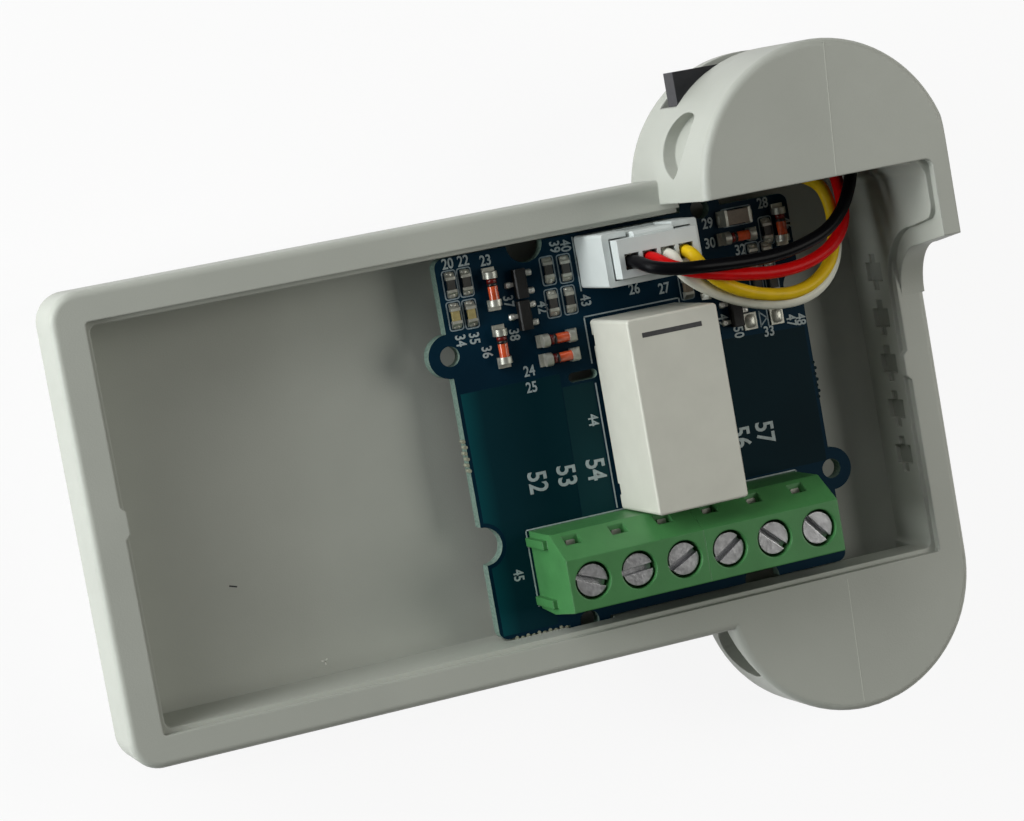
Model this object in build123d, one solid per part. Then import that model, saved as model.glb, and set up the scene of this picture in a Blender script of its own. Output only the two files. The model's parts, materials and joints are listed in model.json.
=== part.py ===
from build123d import *
import math
import os

# Logic relay module: a relay board in an open moulded tray. Millimetres, +Z up, the tray lies on its
# back. The origin is under the centre of the bounding box, on the face that it lies on.

# The board, a 40 mm square with ears and notches, and the height of its top face.
BOARD_SIZE = 40.0
BOARD_THICK = 1.6
BOARD_TOP = 6.4
BOARD_X = 14.2
BOARD_UNDER = BOARD_TOP - BOARD_THICK
BOARD_CORNER_R = 1.0
EAR_R, EAR_HOLE_R = 2.3, 1.05
NOTCH_R = 2.0
EAR_OFFSET = 10.0
SLOT_U, SLOT_V, SLOT_L, SLOT_W = -6.1, 5.3, 3.2, 1.0

# The tray: inner faces, outer faces and levels.
FLOOR = 2.0
RIM = 10.4
RAISED = 22.4
OUT_LEFT, OUT_RIGHT = -46.5, 46.5
OUT_HALF = 23.9
IN_LEFT, IN_RIGHT = -42.6, 42.9
IN_HALF = 20.3
IN_CORNER_R = 0.8
LIP_W, LIP_DEEP, LIP_CORNER_R = 0.45, 0.9, 0.4
DRAFT = 1.8
CORNER_R = 3.0
BASE_R, RIM_R, ROOF_R = 3.4, 0.7, 0.8
OVER = 1.0

# The small tabs that break the lip, and the shallow cross marks on the right end wall.
TAB_REACH, TAB_DEEP, TAB_SLANT = 0.05, 0.6, 0.7
TAB_LEFT_Y, TAB_RIGHT_Y = (-1.2, 2.5), (-2.2, 1.4)
MARK_COUNT, MARK_PITCH = 5, 5.0
MARK_Y, MARK_Z = -0.2, BOARD_TOP + 0.3
MARK_BLOCK_L, MARK_BLOCK_H, MARK_BLOCK_DEEP = 2.0, 3.4, 0.5
MARK_BAR_L, MARK_BAR_H, MARK_BAR_DEEP = 3.9, 1.3, 0.3

# The half-round lobes, one on each long side, and the raised end wall beside the upper one.
LOBE_X, LOBE_Y = 32.4, 21.4
LOBE_R = 14.1
LOBE_WALL = 2.0
RAISED_END_Y, RAMP_R = 12.4, 5.4
INNER_END_Y, INNER_RAMP_R = 14.5, 7.0
INNER_FROM, INNER_TO = 41.8, 43.8
MOUTH_R = 1.5
LIP_END_R, CREST_R = 0.8, 1.6
RAISED_LEAN, RAISED_INSET = 0.9, 0.8
WINDOW_TOP = 5.6
THROAT_SETBACK, THROAT_DEEP = 0.6, 2.0
LOW_LOBE_WALL = 4.0
RECESS_DROP, RECESS_TILT = 4.7, 19.0
RECESS_HIGH = {"out": 5.5, "half": 3.2, "rise": 1.2, "deep": 1.3, "z": BOARD_TOP + 9.0}
RECESS_LOW = {"out": 4.8, "half": 3.4, "rise": 0.0, "deep": 2.6, "z": BOARD_TOP + 2.2}

# The posts under the board, the niche for its ear and the ribs under the socket.
POST_OFFSET, POST_R = 17.4, 1.5
NICHE_HALF, NICHE_Y, NICHE_TOP = 2.6, -22.7, BOARD_TOP + 0.6
RIB_OFFSET, RIB_W, RIB_L = 8.2, 1.4, 2.2
SINK = 0.2

# The relay, a ten-pin box that stands off the board.
RELAY_X, RELAY_Y = BOARD_X + 0.5, 0.8
RELAY_W, RELAY_L = 10.0, 20.2
RELAY_TOP = BOARD_TOP + 11.0
RELAY_FOOT = BOARD_TOP + 0.4
COVER_WALL = 0.5
COVER_LIFT = 0.2
COVER_EDGE_R, COVER_TOP_R = 0.4, 0.25
COVER_NOTCH, COVER_NOTCH_AT = 0.6, 2.2
BASE_GAP = 0.05
BASE_THICK = 1.4
FOOT_X, FOOT_Y, FOOT_W, FOOT_L = 1.3, 1.1, 0.5, 0.4
RELAY_PIN_X = 3.81
RELAY_PIN_YS = (-7.62, -5.08, 0.0, 5.08, 7.62)
RELAY_PIN_W, RELAY_PIN_L = 0.3, 0.5
RELAY_PIN_TOP = RELAY_FOOT + 1.9
PIN_STUB = 1.1

# Inside the relay: the coil on its bobbin, the core, the magnet and the fixed contacts.
COIL_Z = BOARD_TOP + 4.4
COIL_W, COIL_L, COIL_H, COIL_R = 6.4, 11.4, 4.0, 0.8
TUBE_W, TUBE_L, TUBE_H = 3.2, 12.8, 2.6
FLANGE_W, FLANGE_T, FLANGE_TOP = 7.0, 0.65, 2.3
CORE_W, CORE_L, CORE_H = 2.0, 15.8, 1.4
POLE_W, POLE_T = 4.0, 1.0
MAGNET_SIZE, MAGNET_L = 3.2, 3.0
AIR_GAP = 0.05
CONTACT_X, CONTACT_Y, CONTACT_W, CONTACT_L = 3.25, 7.2, 1.0, 0.7

# The rocking armature, drawn at its latched tilt about a fulcrum ridge.
ARM_Z = BOARD_TOP + 7.85
ARM_TILT = 2.0
ARM_W, ARM_L, ARM_T = 4.0, 15.4, 0.7
POLE_GAP, CONTACT_GAP, MAGNET_GAP = 0.35, 0.15, 0.5
RIDGE_R, RIDGE_L = 0.45, 3.0
CARRIER_W, CARRIER_L, CARRIER_T = 8.0, 3.0, 0.9
CARRIER_IN = 2.3
SPRING_X, SPRING_W = 3.25, 1.1
SPRING_LOW, SPRING_HIGH = 0.2, 0.35

# The screw terminals, two blocks of three poles.
POLES, BLOCK_POLES = 6, 3
PITCH = 5.08
TERM_X = BOARD_X + 0.3
TERM_TOP = BOARD_TOP + 10.1
TERM_FRONT, TERM_REAR = -17.6, -9.4
TERM_BELLY_Y, TERM_BELLY_Z = TERM_FRONT - 0.3, BOARD_TOP + 4.0
TERM_LEDGE_FRONT, TERM_LEDGE_REAR = -17.2, -11.8
TERM_REAR_Z = BOARD_TOP + 6.2
DOVETAIL_W, DOVETAIL_REACH, DOVETAIL_H = 0.9, 0.5, 5.2
DOVETAIL_YS = (-16.7, -10.5)
DOVETAIL_GAP = 0.05
SCREW_Y = -14.3
SCREW_TURNS = (-22, 4, 26, 33, -43, -50)
SCREW_R, SHANK_R = 1.65, 1.2
SCREW_SINK = 0.45
HEAD_H = 1.25
DRIVE_W, DRIVE_DEEP = 0.6, 0.75
WELL_R, WELL_DEEP = 1.95, 1.8
SHANK_GAP = 0.08
SHANK_END = BOARD_TOP + 4.8
TEST_HOLE_W, TEST_HOLE_Z = 1.7, (BOARD_TOP + 6.7, BOARD_TOP + 8.0)
TEST_HOLE_SHIFT = -0.6
ENTRY_W, ENTRY_Z = 3.2, (BOARD_TOP + 1.2, BOARD_TOP + 4.6)

# Inside the terminals: the rising cage, the fixed tongue and the pin behind it.
CAGE_Y0, CAGE_Y1 = -16.2, -12.9
CAGE_W, CAGE_WALL = 3.7, 0.5
CAGE_Z0, CAGE_TOP = BOARD_TOP + 0.8, BOARD_TOP + 6.3
CAGE_LID = 0.7
CAGE_HOLE_GAP = 0.06
ROOM_W, ROOM_FRONT, ROOM_REAR = 4.1, -16.4, -12.0
ROOM_TOP = BOARD_TOP + 7.9
TONGUE_W, TONGUE_T, TONGUE_Z = 2.5, 0.6, BOARD_TOP + 3.8
TONGUE_FRONT = -16.1
TERM_PIN_Y, TERM_PIN_W = -12.4, 0.8
TEST_TAB_W, TEST_TAB_T, TEST_TAB_TOP = 2.6, 0.4, ROOM_TOP - 0.2

# The four-way header and its plug.
WAYS = 4
PLUG_PITCH = 2.0
HEADER_X, HEADER_Y = BOARD_X + 0.8, 16.95
HEADER_L, HEADER_W, HEADER_H = 10.6, 5.5, 8.0
HEADER_R = 0.3
HEADER_FLOOR = BOARD_TOP + 1.4
HEADER_GAP = 0.15
LATCH_GATE_W, LATCH_GATE_Z = 5.2, BOARD_TOP + 3.0
HEADER_PIN_Y, HEADER_PIN_W = 16.6, 0.5
HEADER_PIN_TOP = BOARD_TOP + 5.6
PLUG_L, PLUG_W = 8.8, 4.0
PLUG_BOTTOM, PLUG_TOP = BOARD_TOP + 2.2, BOARD_TOP + 9.8
PLUG_BEVEL = 0.3
LATCH_W, LATCH_REACH, LATCH_RISE, LATCH_DROP = 4.4, 0.55, 1.5, 0.6
CAVITY = 1.6
CONTACT_BOX, CONTACT_BORE, CONTACT_BORE_TOP = 1.3, 0.64, BOARD_TOP + 5.9
CRIMP_R, CRIMP_H = 0.78, 0.7

# The one-row socket in the raised lobe.
SOCKET_PITCH = 2.54
SOCKET_POLES = 8
SOCKET_L = SOCKET_PITCH * SOCKET_POLES
SOCKET_Z0 = BOARD_TOP + 1.1
SOCKET_T = 2.5
SOCKET_ZM = SOCKET_Z0 + SOCKET_T / 2
SOCKET_Y0, SOCKET_Y1 = 26.1, 34.6
SLOT_Z0 = BOARD_TOP - 1.0
SLOT_GAP = 0.1
SLOT_INNER_Y = SOCKET_Y0 - 0.5
SPRING_BOX, SPRING_BORE = 1.0, 0.72
SPRING_Y0, SPRING_BORE_Y0, SPRING_Y1 = 27.6, 29.6, 33.4
TAIL_Y, TAIL_W, TAIL_T = 24.1, 0.6, 0.3

# The wires, each with its plug way and socket pole, as points over the board.
WIRE_D = 1.35
ARC_SHARE = 0.45
WIRE_FOOT_Z = BOARD_TOP + 8.4
WIRE_WAY = {"black": 0, "red": 1, "white": 2, "yellow": 3}
WIRE_POLE = {"black": 7, "red": 6, "white": 5, "yellow": 4}
WIRE_ROUTES = {
    "black": [(-2.2, 16.6, 10.6), (-1.7, 15.8, 13.1), (0.6, 15.2, 14.2), (3.9, 14.9, 14.0),
              (8.4, 14.5, 12.6), (12.9, 14.4, 11.3), (16.7, 14.9, 10.2), (20.0, 15.8, 9.2),
              (22.6, 17.7, 8.2), (24.4, 20.2, 7.0), (25.7, 21.4, 4.9), (27.09, 22.5, 2.5)],
    "red": [(-0.2, 16.6, 10.3), (0.4, 15.7, 12.2), (2.0, 14.9, 12.7), (4.4, 14.1, 12.4),
            (8.6, 13.2, 10.5), (13.4, 12.5, 9.2), (17.4, 12.7, 8.3), (20.7, 13.8, 7.6),
            (22.8, 15.7, 6.9), (23.6, 18.0, 6.0), (23.9, 20.4, 5.0), (24.5, 22.2, 2.5)],
    "white": [(1.8, 16.6, 10.5), (2.2, 14.7, 11.2), (4.0, 13.4, 9.4), (6.5, 11.9, 7.9),
              (10.0, 10.2, 7.0), (13.9, 9.1, 6.3), (17.6, 9.0, 5.6), (20.6, 10.1, 4.9),
              (22.6, 12.5, 4.3), (23.3, 15.6, 3.7), (23.4, 19.0, 3.1), (22.0, 22.2, 2.4)],
    "yellow": [(3.8, 16.6, 10.5), (4.6, 14.8, 11.1), (6.4, 13.1, 9.7), (9.5, 11.3, 8.6),
               (13.0, 10.2, 8.0), (16.4, 9.9, 7.4), (19.4, 10.9, 6.7), (21.5, 12.8, 6.0),
               (22.4, 15.5, 5.4), (22.7, 18.2, 4.8), (22.1, 20.6, 4.2), (19.5, 22.2, 2.4)],
}

# The small surface parts: places on the board with their turn, and sizes as length, width, height.
CHIP = (1.6, 0.8, 0.45)
LED = (1.6, 0.8, 0.55)
SMALL_CAP = (1.6, 0.8, 0.8)
BIG_CAP = (3.0, 1.5, 1.2)
CHIP_LIFT = 0.05
END_L, END_OVER, END_TOE, TOE_Z = 0.3, 0.1, 0.5, 0.06
RESISTORS = [(-18.6, 17.2, 90), (-16.9, 17.2, 90), (-7.9, 16.8, 90), (-6.0, 16.6, 90),
             (-8.0, 13.3, 90), (-6.1, 13.3, 90), (17.1, 16.4, 90), (15.1, 14.0, 90),
             (16.7, 13.9, 90), (15.0, 11.0, 90), (16.8, 10.8, 90)]
LEDS = [(-18.7, 14.0, 90), (-17.0, 13.9, 90)]
BIG_CAPS = [(13.7, 18.5, 0)]
SMALL_CAPS = [(7.0, 12.2, 90), (9.8, 11.0, 0)]
DIODES = [(-14.4, 16.0, 90), (-14.4, 10.0, 90), (-8.3, 9.7, 0), (-8.3, 7.7, 0),
          (13.6, 16.4, 0), (18.6, 16.8, 90)]
DIODE_R, DIODE_Z, DIODE_TUBE_R, DIODE_TUBE_L = 0.7, 0.75, 0.52, 2.2
DIODE_CAP_L, DIODE_PAD_END, DIODE_PAD_HALF, DIODE_PAD_H = 0.7, 2.25, 0.65, 0.35
TRANSISTORS = [(-11.3, 16.0, 1), (-11.4, 12.7, 1), (11.9, 8.6, -1)]
TRANSISTOR_W, TRANSISTOR_L, TRANSISTOR_Z = 1.3, 3.05, (0.12, 1.05)
TRANSISTOR_BEVEL = 0.15
LEAD_X, LEAD_W, LEAD_T, LEAD_STEP = (0.66, 1.45), 0.44, 0.3, 0.95
BARE_PADS = [(13.5, 7.3), (16.6, 7.3)]
PAD_W, PAD_L, PAD_H = 1.5, 1.8, 0.18

# The soldered holes: radius in the board for each kind of pin, and the cone of solder below.
PIN_HOLE_R, POLE_HOLE_R = 0.45, 0.7
JOINT_H, JOINT_TIP, JOINT_RIM = 0.9, 0.05, 0.4

PARTS = {}


def at(u, v, z=0.0):
    """A point over the board: u and v from its centre, z up from its top face."""
    return Vector(BOARD_X + u, v, BOARD_TOP + z)


def block(x0, x1, y0, y1, z0, z1):
    """A box between two limits on each axis, given either way round."""
    return Pos((x0 + x1) / 2, (y0 + y1) / 2, (z0 + z1) / 2) * Box(abs(x1 - x0), abs(y1 - y0), z1 - z0)


def brick(x, y, width, length, z0, z1):
    """A box by the centre and size of its plan."""
    return block(x - width / 2, x + width / 2, y - length / 2, y + length / 2, z0, z1)


def post(x, y, z0, z1, radius):
    return Pos(x, y, (z0 + z1) / 2) * Cylinder(radius, z1 - z0)


def plate(sketch, z0, z1, taper=0.0):
    return extrude(Pos(0, 0, z0) * sketch, z1 - z0, taper=taper)


def area(x0, x1, y0, y1):
    return Pos((x0 + x1) / 2, (y0 + y1) / 2) * Rectangle(x1 - x0, abs(y1 - y0))


def side_block(points, x0, x1):
    """A prism along X whose outline is given in Y and Z."""
    outline = make_face(Polyline(*[(0, y, z) for y, z in points], close=True))
    return extrude(Pos(x0, 0, 0) * outline, x1 - x0, dir=(1, 0, 0))


def keep(name, *solids):
    """Hold a node: one solid, or a group of separate ones."""
    found = [s for item in solids for s in item.solids()]
    PARTS[name] = found[0] if len(found) == 1 else Compound(children=found)


# The housing

def lobe_disc(side, radius):
    return Pos(LOBE_X, side * LOBE_Y) * Circle(radius)


def outer_outline():
    middle = (OUT_LEFT + OUT_RIGHT) / 2
    tray = Pos(middle, 0) * RectangleRounded(OUT_RIGHT - OUT_LEFT, 2 * OUT_HALF, CORNER_R)
    return tray + lobe_disc(1, LOBE_R) + lobe_disc(-1, LOBE_R)


def cavity_outline(grow, radius):
    middle = (IN_LEFT + IN_RIGHT) / 2
    length = IN_RIGHT - IN_LEFT + 2 * grow
    return Pos(middle, 0) * RectangleRounded(length, 2 * (IN_HALF + grow), radius)


def tray_hollow():
    """The hollow of the tray up to the rim, wider upwards."""
    inset = (RIM - FLOOR) * math.tan(math.radians(DRAFT))
    return plate(cavity_outline(-inset, IN_CORNER_R - inset), FLOOR, RIM, taper=-DRAFT)


def tray_lip():
    return plate(cavity_outline(LIP_W, LIP_CORNER_R), RIM - LIP_DEEP, RIM + OVER)


def end_tabs():
    """The two small tabs that break the lip half way along each end wall."""
    tabs = []
    for side, x, (y0, y1) in ((-1, IN_LEFT, TAB_LEFT_Y), (1, IN_RIGHT, TAB_RIGHT_Y)):
        out, tip = x + side * (LIP_W + SINK), x - side * TAB_REACH
        corners = [(out, y0), (tip, y0 + TAB_SLANT), (tip, y1 - TAB_SLANT), (out, y1)]
        tabs.append(plate(make_face(Polyline(*corners, close=True)), RIM - LIP_DEEP - TAB_DEEP, RIM))
    return tabs


def leaning_cut():
    """The wedge cut off the raised right side, which leans inwards above the rim."""
    inset = RAISED_INSET * (1 + OVER / (RAISED - RIM))
    corners = [(OUT_RIGHT, RIM), (OUT_RIGHT + OVER, RIM), (OUT_RIGHT + OVER, RAISED + OVER),
               (OUT_RIGHT - inset, RAISED + OVER)]
    face = make_face(Polyline(*[(x, 0, z) for x, z in corners], close=True))
    return extrude(face, LOBE_Y + LOBE_R, dir=(0, 1, 0))


def raised_lobe():
    beyond = area(OUT_LEFT, OUT_RIGHT, LOBE_Y, LOBE_Y + 2 * LOBE_R)
    lobe = plate(lobe_disc(1, LOBE_R) & beyond, RIM - OVER, RAISED) - leaning_cut()
    top = lobe.edges().group_by(Axis.Z)[-1]
    return fillet(top.filter_by(GeomType.CIRCLE), ROOF_R)


def raised_profile(end_y, radius, drop):
    """The upper edge of the raised end wall in Y and Z, lowered by a drop, with its ramp to the rim."""
    back, crest, foot = LOBE_Y + SINK, end_y + RAISED_LEAN, end_y - radius
    top, rim = RAISED - drop, RIM - drop
    half = radius * math.sin(math.pi / 4)
    edge = Polyline((0, back, RIM - OVER - drop), (0, back, top), (0, crest, top), (0, end_y, rim + radius))
    edge += ThreePointArc((0, end_y, rim + radius), (0, foot + half, rim + radius - half), (0, foot, rim))
    return make_face(edge + Polyline((0, foot, rim), (0, foot, RIM - OVER - drop), (0, back, RIM - OVER - drop)))


def lip_corner():
    """The rounded corner where the raised wall's lip meets the lobe's flat side."""
    corner = area(INNER_TO - LIP_END_R, INNER_TO + SINK, LOBE_Y - LIP_END_R, LOBE_Y + SINK)
    round_off = Pos(INNER_TO - LIP_END_R, LOBE_Y - LIP_END_R) * Circle(LIP_END_R)
    return plate(corner - round_off, RAISED - LIP_DEEP - SINK, RAISED)


def raised_end_wall():
    """The end wall beside the raised lobe: it leans inwards, and its lip follows the ramp."""
    outer = extrude(Pos(INNER_TO, 0, 0) * raised_profile(RAISED_END_Y, RAMP_R, 0.0),
                    OUT_RIGHT - INNER_TO, dir=(1, 0, 0))
    inner = extrude(Pos(INNER_FROM, 0, 0) * raised_profile(INNER_END_Y, INNER_RAMP_R, LIP_DEEP),
                    INNER_TO - INNER_FROM, dir=(1, 0, 0))
    crest = inner.edges().filter_by(Axis.X).sort_by_distance(
        (INNER_FROM, INNER_END_Y + RAISED_LEAN, RAISED - LIP_DEEP))[0]
    inner = fillet(crest, CREST_R)
    widening = (RAISED - RIM) * math.tan(math.radians(DRAFT))
    mouth = plate(RectangleRounded(2 * IN_RIGHT, 2 * (LOBE_Y - widening), MOUTH_R), RIM, RAISED, taper=-DRAFT)
    return (outer - leaning_cut()) + (inner - mouth - tray_hollow()) + lip_corner()


def lobe_cavity(side, wall, top):
    """The hollow inside a lobe, open to the tray through the long wall."""
    radius = LOBE_R - wall
    window = area(LOBE_X - radius, IN_RIGHT - THROAT_SETBACK,
                  *sorted((side * (IN_HALF - THROAT_DEEP), side * (LOBE_Y + LOBE_R))))
    return plate(lobe_disc(side, radius) & window, FLOOR, top)


def side_recess(side, out, half, rise, deep, z):
    """The blind recess in the left flank of a lobe, flat or slightly arched above and round below."""
    outline = Ellipse(half, RECESS_DROP) & (Pos(0, -RECESS_DROP) * Rectangle(2 * half, 2 * RECESS_DROP))
    if rise:
        outline += Ellipse(half, rise)
    plane = Plane(origin=(LOBE_X - LOBE_R - OVER, side * (LOBE_Y + out), z), x_dir=(0, 1, 0), z_dir=(1, 0, 0))
    cutter = extrude(plane * (Rot(0, 0, side * RECESS_TILT) * outline), LOBE_R / 2)
    return cutter - plate(lobe_disc(side, LOBE_R - deep), 0, RAISED)


def wall_marks():
    """Cross-shaped shallow marks in a row on the inner face of the right end wall."""
    face_x = IN_RIGHT - (RIM - MARK_Z) * math.tan(math.radians(DRAFT))
    marks = []
    for i in range(MARK_COUNT):
        y = MARK_Y + (i - (MARK_COUNT - 1) / 2) * MARK_PITCH
        for deep, length, high in ((MARK_BLOCK_DEEP, MARK_BLOCK_L, MARK_BLOCK_H),
                                   (MARK_BAR_DEEP, MARK_BAR_L, MARK_BAR_H)):
            marks.append(block(face_x - OVER, face_x + deep, y - length / 2, y + length / 2,
                               MARK_Z - high / 2, MARK_Z + high / 2))
    return marks


def board_posts():
    """Four low posts that carry the board over the floor."""
    places = [(sx * POST_OFFSET, sy * POST_OFFSET) for sx in (-1, 1) for sy in (-1, 1)]
    return [post(BOARD_X + u, v, FLOOR - SINK, BOARD_UNDER, POST_R) for u, v in places]


def ear_niche():
    """The room in the lower long wall that takes the board's ear."""
    x = BOARD_X - EAR_OFFSET
    return block(x - NICHE_HALF, x + NICHE_HALF, NICHE_Y, -IN_HALF + OVER, FLOOR, NICHE_TOP)


def socket_slot():
    half = SOCKET_L / 2 + SLOT_GAP
    return block(LOBE_X - half, LOBE_X + half, SLOT_INNER_Y, LOBE_Y + LOBE_R + OVER,
                 SLOT_Z0, SOCKET_Z0 + SOCKET_T)


def socket_ribs():
    """Two ribs in the raised lobe that the socket lies on."""
    y = SOCKET_Y0 + SINK + RIB_L / 2
    return [brick(LOBE_X + side * RIB_OFFSET, y, RIB_W, RIB_L, FLOOR - SINK, SOCKET_Z0) for side in (-1, 1)]


def make_housing():
    body = plate(outer_outline(), 0, RIM)
    body = fillet(body.edges().group_by(Axis.Z)[0], BASE_R)
    body = fillet(body.edges().group_by(Axis.Z)[-1], RIM_R)
    body = body - tray_hollow() - tray_lip() + end_tabs() + raised_lobe() + raised_end_wall()
    body -= lobe_cavity(1, LOBE_WALL, RAISED - LOBE_WALL)
    body -= lobe_cavity(-1, LOW_LOBE_WALL, WINDOW_TOP)
    body -= side_recess(1, **RECESS_HIGH)
    body -= side_recess(-1, **RECESS_LOW)
    body -= [ear_niche(), socket_slot()]
    body -= wall_marks()
    body += board_posts() + socket_ribs()
    keep("housing_shell", body)


# The board

def pole_x(index):
    return TERM_X + (index - (POLES - 1) / 2) * PITCH


def header_pin_x(index):
    return HEADER_X + (index - (WAYS - 1) / 2) * PLUG_PITCH


def relay_pin_places():
    return [(RELAY_X + side * RELAY_PIN_X, RELAY_Y + y) for side in (-1, 1) for y in RELAY_PIN_YS]


def through_holes():
    """Centre and radius of every soldered hole."""
    holes = [(x, y, PIN_HOLE_R) for x, y in relay_pin_places()]
    holes += [(pole_x(i), TERM_PIN_Y, POLE_HOLE_R) for i in range(POLES)]
    return holes + [(header_pin_x(i), HEADER_PIN_Y, PIN_HOLE_R) for i in range(WAYS)]


def edge_discs(side, radius):
    """Discs on the four edges, turned a quarter from one to the next."""
    e, half = side * EAR_OFFSET, BOARD_SIZE / 2
    return [Pos(BOARD_X + u, v) * Circle(radius) for u, v in ((-half, e), (half, -e), (e, half), (-e, -half))]


def make_board():
    outline = Pos(BOARD_X, 0) * RectangleRounded(BOARD_SIZE, BOARD_SIZE, BOARD_CORNER_R)
    outline = outline + edge_discs(1, EAR_R) - edge_discs(1, EAR_HOLE_R) - edge_discs(-1, NOTCH_R)
    outline -= [Pos(x, y) * Circle(r) for x, y, r in through_holes()]
    outline -= Pos(BOARD_X + SLOT_U, SLOT_V) * SlotOverall(SLOT_L, SLOT_W)
    keep("circuit_board", plate(outline, BOARD_UNDER, BOARD_TOP))


# The relay

def make_relay_shells():
    x, y, z0 = RELAY_X, RELAY_Y, RELAY_FOOT
    shell = brick(x, y, RELAY_W, RELAY_L, z0 + COVER_LIFT, RELAY_TOP)
    shell = fillet(shell.edges().filter_by(Axis.Z), COVER_EDGE_R)
    shell = fillet(shell.edges().group_by(Axis.Z)[-1], COVER_TOP_R)
    inside_w, inside_l = RELAY_W - 2 * COVER_WALL, RELAY_L - 2 * COVER_WALL
    shell -= brick(x, y, inside_w, inside_l, z0, RELAY_TOP - COVER_WALL)
    for side in (-1, 1):
        notch_y = y + side * (RELAY_L / 2 - COVER_NOTCH_AT)
        shell -= brick(x, notch_y, RELAY_W + OVER, 2 * COVER_NOTCH, z0, z0 + COVER_NOTCH)
    keep("relay_cover", shell)
    gap = 2 * BASE_GAP
    base = brick(x, y, inside_w - gap, inside_l - gap, z0, z0 + BASE_THICK)
    for side in (-1, 1):
        for end in (-1, 1):
            foot_x, foot_y = x + side * (RELAY_W / 2 - FOOT_X), y + end * (RELAY_L / 2 - FOOT_Y)
            base += brick(foot_x, foot_y, 2 * FOOT_W, 2 * FOOT_L, BOARD_TOP, z0)
    pins = relay_pin_solids()
    keep("relay_base", base - pins)
    keep("relay_pins", *pins)


def relay_pin_solids():
    low = BOARD_UNDER - PIN_STUB
    return [brick(x, y, RELAY_PIN_W, RELAY_PIN_L, low, RELAY_PIN_TOP) for x, y in relay_pin_places()]


def make_relay_coil():
    x, y, z = RELAY_X, RELAY_Y, COIL_Z
    tube = brick(x, y, TUBE_W, TUBE_L, z - TUBE_H / 2, z + TUBE_H / 2)
    coil = brick(x, y, COIL_W, COIL_L, z - COIL_H / 2, z + COIL_H / 2)
    coil = fillet(coil.edges().filter_by(Axis.Y), COIL_R)
    keep("relay_coil", coil - tube)
    core = brick(x, y, CORE_W, CORE_L, z - CORE_H / 2, z + CORE_H / 2)
    bobbin = tube
    for end in (-1, 1):
        flange_y = y + end * (TUBE_L - FLANGE_T) / 2
        bobbin += brick(x, flange_y, FLANGE_W, FLANGE_T, RELAY_FOOT + BASE_THICK, z + FLANGE_TOP)
    keep("relay_bobbin", bobbin - core)
    for end in (-1, 1):
        pole_y = y + end * (CORE_L - POLE_T) / 2
        core += brick(x, pole_y, POLE_W, POLE_T, z - CORE_H / 2, ARM_Z - POLE_GAP)
    keep("relay_core", core)
    magnet_foot = z + COIL_H / 2 + AIR_GAP
    keep("relay_magnet", brick(x, y, MAGNET_SIZE, MAGNET_L, magnet_foot, ARM_Z - MAGNET_GAP))


def rocked(solid):
    """Turn an armature piece to its latched side."""
    return solid.rotate(Axis((RELAY_X, RELAY_Y, ARM_Z), (1, 0, 0)), -ARM_TILT)


def make_armature():
    x, y, z = RELAY_X, RELAY_Y, ARM_Z
    bar = brick(x, y, ARM_W, ARM_L, z, z + ARM_T)
    ridge = Pos(x, y, z) * Rot(0, 90, 0) * Cylinder(RIDGE_R, RIDGE_L)
    keep("relay_armature", rocked(bar + ridge))
    carrier = brick(x, y, CARRIER_W, CARRIER_L, z + ARM_T, z + ARM_T + CARRIER_T)
    springs = []
    for side in (-1, 1):
        cheek_x0, cheek_x1 = x + side * CARRIER_IN, x + side * CARRIER_W / 2
        carrier += block(cheek_x0, cheek_x1, y - CARRIER_L / 2, y + CARRIER_L / 2,
                         z + SPRING_HIGH, z + ARM_T)
        spring = brick(x + side * SPRING_X, y, SPRING_W, ARM_L, z + SPRING_LOW, z + SPRING_HIGH)
        springs.append(rocked(spring))
    keep("armature_carrier", rocked(carrier))
    keep("moving_contacts", *springs)


def make_fixed_contacts():
    foot = RELAY_FOOT + BASE_THICK
    pins = relay_pin_solids()
    posts = []
    for side in (-1, 1):
        for end in (-1, 1):
            x, y = RELAY_X + side * CONTACT_X, RELAY_Y + end * CONTACT_Y
            posts.append(brick(x, y, CONTACT_W, CONTACT_L, foot, ARM_Z - CONTACT_GAP) - pins)
    keep("fixed_contacts", *posts)


# The screw terminals

def terminal_block(first_pole):
    """A block of three poles: slanted at the back, flat on top, wire entries in front."""
    outline = [(TERM_FRONT, BOARD_TOP), (TERM_BELLY_Y, TERM_BELLY_Z), (TERM_LEDGE_FRONT, TERM_TOP),
               (TERM_LEDGE_REAR, TERM_TOP), (TERM_REAR, TERM_REAR_Z), (TERM_REAR, BOARD_TOP)]
    start = pole_x(first_pole) - PITCH / 2
    body = side_block(outline, start, start + BLOCK_POLES * PITCH)
    for i in range(first_pole, first_pole + BLOCK_POLES):
        x = pole_x(i)
        body -= post(x, SCREW_Y, TERM_TOP - WELL_DEEP, TERM_TOP + OVER, WELL_R)
        body -= post(x, SCREW_Y, ROOM_TOP - OVER, TERM_TOP - OVER, SHANK_R + SHANK_GAP)
        body -= block(x - ROOM_W / 2, x + ROOM_W / 2, ROOM_FRONT, ROOM_REAR, BOARD_TOP - SINK, ROOM_TOP)
        body -= block(x - ENTRY_W / 2, x + ENTRY_W / 2, TERM_FRONT - OVER, CAGE_Y0, *ENTRY_Z)
        body -= brick(x + TEST_HOLE_SHIFT, TERM_REAR + OVER, TEST_HOLE_W, 2 * (TERM_REAR + OVER - ROOM_REAR),
                      *TEST_HOLE_Z)
    return body


def dovetails(x, reach):
    """The two upright ridges that join one block to the next."""
    return [block(x - reach, x, y - DOVETAIL_W / 2, y + DOVETAIL_W / 2, BOARD_TOP, BOARD_TOP + DOVETAIL_H)
            for y in DOVETAIL_YS]


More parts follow.
